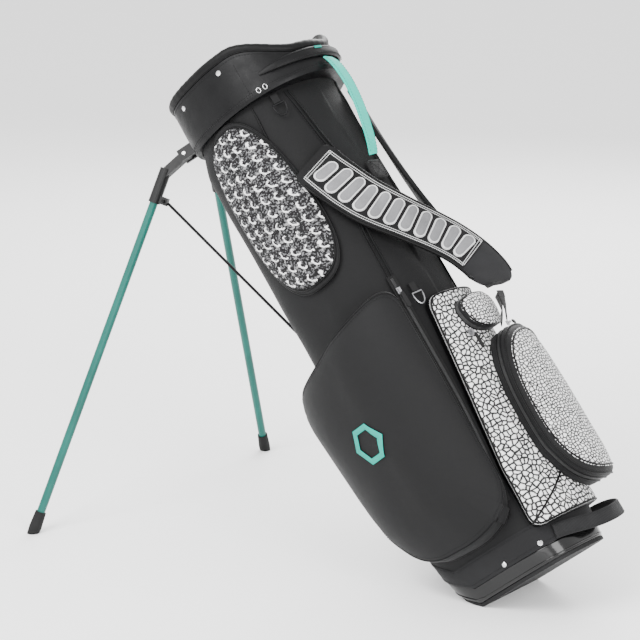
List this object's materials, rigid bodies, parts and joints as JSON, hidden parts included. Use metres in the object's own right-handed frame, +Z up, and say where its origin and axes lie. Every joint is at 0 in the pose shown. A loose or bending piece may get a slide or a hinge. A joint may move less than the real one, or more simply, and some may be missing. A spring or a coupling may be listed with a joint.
{
  "type": "golf stand bag",
  "caption": "Golf stand bag with a padded oval collar, divided top, folding legs worked by push rods, side and front pockets, shoulder strap and carry handles.",
  "frame": {"origin": "centre of the flat rest under the base, on the ground", "axes": "+Z up; the bag leans towards -X, where its legs stand, and its strap side faces +X; Y runs across between the legs"},
  "size_m": [0.8968, 0.5854, 0.792],
  "materials": {
    "black_wire": "black painted wire",
    "body_fabric": "woven black nylon",
    "collar_leather": "pebbled black synthetic leather",
    "frame_plastic": "satin black",
    "leg_teal": "teal anodised tube",
    "lining": "dark grey knit",
    "link_fabric": "black mesh with a white and grey link pattern",
    "moulded_plastic": "glossy black",
    "pebble_fabric": "black fabric printed with irregular white pebbles",
    "polished_steel": "polished",
    "rubber": "matt black",
    "strap_fabric": "dark padded fabric with grey pods",
    "webbing_black": "black webbing",
    "webbing_teal": "bright teal webbing"
  },
  "bodies": {
    "bag": {"apparel_pocket_left": "body_fabric", "apparel_pocket_right": "body_fabric", "ball_pocket": "pebble_fabric", "base_handle": "webbing_black", "base_sole": "rubber", "base_tray": "moulded_plastic", "body_shell": "body_fabric", "collar_cover": "collar_leather", "collar_grip": "collar_leather", "d_ring_tab": "webbing_black", "divider_sheet_front": "lining", "divider_sheet_leg_side": "lining", "divider_sheet_middle": "lining", "divider_sheet_rear": "lining", "handle_anchor": "webbing_black", "hinge_pin_left": "polished_steel", "hinge_pin_right": "polished_steel", "hip_pad": "link_fabric", "leg_bracket": "frame_plastic", "lift_handle": "webbing_teal", "lower_panel": "pebble_fabric", "rim_roll": "collar_leather", "rivet_base_1": "polished_steel", "rivet_base_2": "polished_steel", "rivet_base_3": "polished_steel", "rivet_base_4": "polished_steel", "rivet_collar_1": "polished_steel", "rivet_collar_2": "polished_steel", "rivet_collar_3": "polished_steel", "rod_guide_lower": "frame_plastic", "rod_guide_upper": "frame_plastic", "stay_left": "frame_plastic", "stay_right": "frame_plastic", "stay_spine": "frame_plastic", "strap_pad_front": "strap_fabric", "strap_pad_rear": "strap_fabric", "strap_web_front": "webbing_black", "strap_web_rear": "webbing_black", "top_frame": "frame_plastic", "towel_ring_tab": "webbing_black", "valuables_pocket": "pebble_fabric"},
    "leg_left": {"knuckle_left": "frame_plastic", "leg_tube_left": "leg_teal", "foot_cap_left": "rubber"},
    "leg_right": {"knuckle_right": "frame_plastic", "leg_tube_right": "leg_teal", "foot_cap_right": "rubber"},
    "rod_left": {"push_rod_left": "black_wire"},
    "rod_right": {"push_rod_right": "black_wire"},
    "slider": {"actuator_slider": "frame_plastic"},
    "actuator": {"actuator_rod": "black_wire"},
    "foot_plate": {"foot_lever": "frame_plastic"},
    "d_ring_body": {"d_ring": "polished_steel"},
    "towel_ring_body": {"towel_ring": "polished_steel"},
    "zip_apparel": {"zip_slider_apparel": "polished_steel"},
    "pull_apparel": {"zip_pull_apparel": "webbing_black"},
    "zip_valuables": {"zip_slider_valuables": "polished_steel"},
    "pull_valuables": {"zip_pull_valuables": "webbing_black"},
    "zip_ball": {"zip_slider_ball": "polished_steel"},
    "pull_ball": {"zip_pull_ball": "webbing_black"}
  },
  "joints": [
    {"name": "leg_left_fold", "type": "hinge", "parent": "bag", "child": "leg_left", "pos_m": [-0.59662, -0.035, 0.59794], "axis": [0.3322, -0.8931, 0.3033], "range_deg": [0, 56.7]},
    {"name": "leg_right_fold", "type": "hinge", "parent": "bag", "child": "leg_right", "pos_m": [-0.59662, 0.035, 0.59794], "axis": [-0.3322, -0.8931, -0.3033], "range_deg": [0, 56.7]},
    {"name": "push_rod_left_swing", "type": "hinge", "parent": "leg_left", "child": "rod_left", "pos_m": [-0.61632, -0.06774, 0.52369], "axis": [-0.3493, 0.9009, -0.2576], "range_deg": [0, 65.76]},
    {"name": "push_rod_right_swing", "type": "hinge", "parent": "leg_right", "child": "rod_right", "pos_m": [-0.61632, 0.06774, 0.52369], "axis": [0.3493, 0.9009, 0.2576], "range_deg": [0, 65.76]},
    {"name": "slider_travel", "type": "slide", "parent": "bag", "child": "slider", "axis": [0.6293, 0, -0.7771], "range_m": [0, 0.0522]},
    {"name": "actuator_travel", "type": "slide", "parent": "bag", "child": "actuator", "axis": [0.6293, 0, -0.7771], "range_m": [0, 0.0222]},
    {"name": "foot_lever_swing", "type": "hinge", "parent": "bag", "child": "foot_plate", "pos_m": [-0.026, 0, 0.0032], "axis": [0, -1, 0], "range_deg": [0, 36.2]},
    {"name": "d_ring_swing", "type": "hinge", "parent": "bag", "child": "d_ring_body", "pos_m": [-0.12627, -0.04625, 0.44611], "axis": [-0.2674, -0.939, -0.2162], "range_deg": [0, 100]},
    {"name": "towel_ring_swing", "type": "hinge", "parent": "bag", "child": "towel_ring_body", "pos_m": [-0.36258, -0.08059, 0.70512], "axis": [-0.4867, -0.7805, -0.3924], "range_deg": [0, 100]},
    {"name": "zip_apparel_travel", "type": "slide", "parent": "bag", "child": "zip_apparel", "axis": [0.6297, -0.0006, -0.7768], "range_m": [0, 0.19]},
    {"name": "zip_pull_apparel_swing", "type": "hinge", "parent": "zip_apparel", "child": "pull_apparel", "pos_m": [-0.13491, -0.07191, 0.45069], "axis": [-0.3986, -0.8586, -0.3225], "range_deg": [0, 100]},
    {"name": "zip_valuables_travel", "type": "slide", "parent": "bag", "child": "zip_valuables", "axis": [-0.6227, -0.291, 0.7263], "range_m": [0, 0.028]},
    {"name": "zip_pull_valuables_swing", "type": "hinge", "parent": "zip_valuables", "child": "pull_valuables", "pos_m": [-0.04403, -0.01371, 0.39304], "axis": [-0.0674, -0.9962, -0.0544], "range_deg": [0, 100]},
    {"name": "zip_ball_travel", "type": "slide", "parent": "bag", "child": "zip_ball", "axis": [-0.3792, 0.8733, -0.3057], "range_m": [0, 0.03]},
    {"name": "zip_pull_ball_swing", "type": "hinge", "parent": "zip_ball", "child": "pull_ball", "pos_m": [-0.04744, 0.08695, 0.38964], "axis": [0.6289, 0.0009, -0.7775], "range_deg": [0, 100]}
  ],
  "couplings": [
    {"joint": "leg_right_fold", "follows": "leg_left_fold", "ratio": 1},
    {"joint": "push_rod_left_swing", "follows": "leg_left_fold", "ratio": 1.1581},
    {"joint": "push_rod_right_swing", "follows": "leg_left_fold", "ratio": 1.1581},
    {"joint": "slider_travel", "follows": "leg_left_fold", "m_per_rad": 0.05234},
    {"joint": "actuator_travel", "follows": "leg_left_fold", "m_per_rad": 0.02222},
    {"joint": "foot_lever_swing", "follows": "leg_left_fold", "ratio": 0.63465}
  ]
}
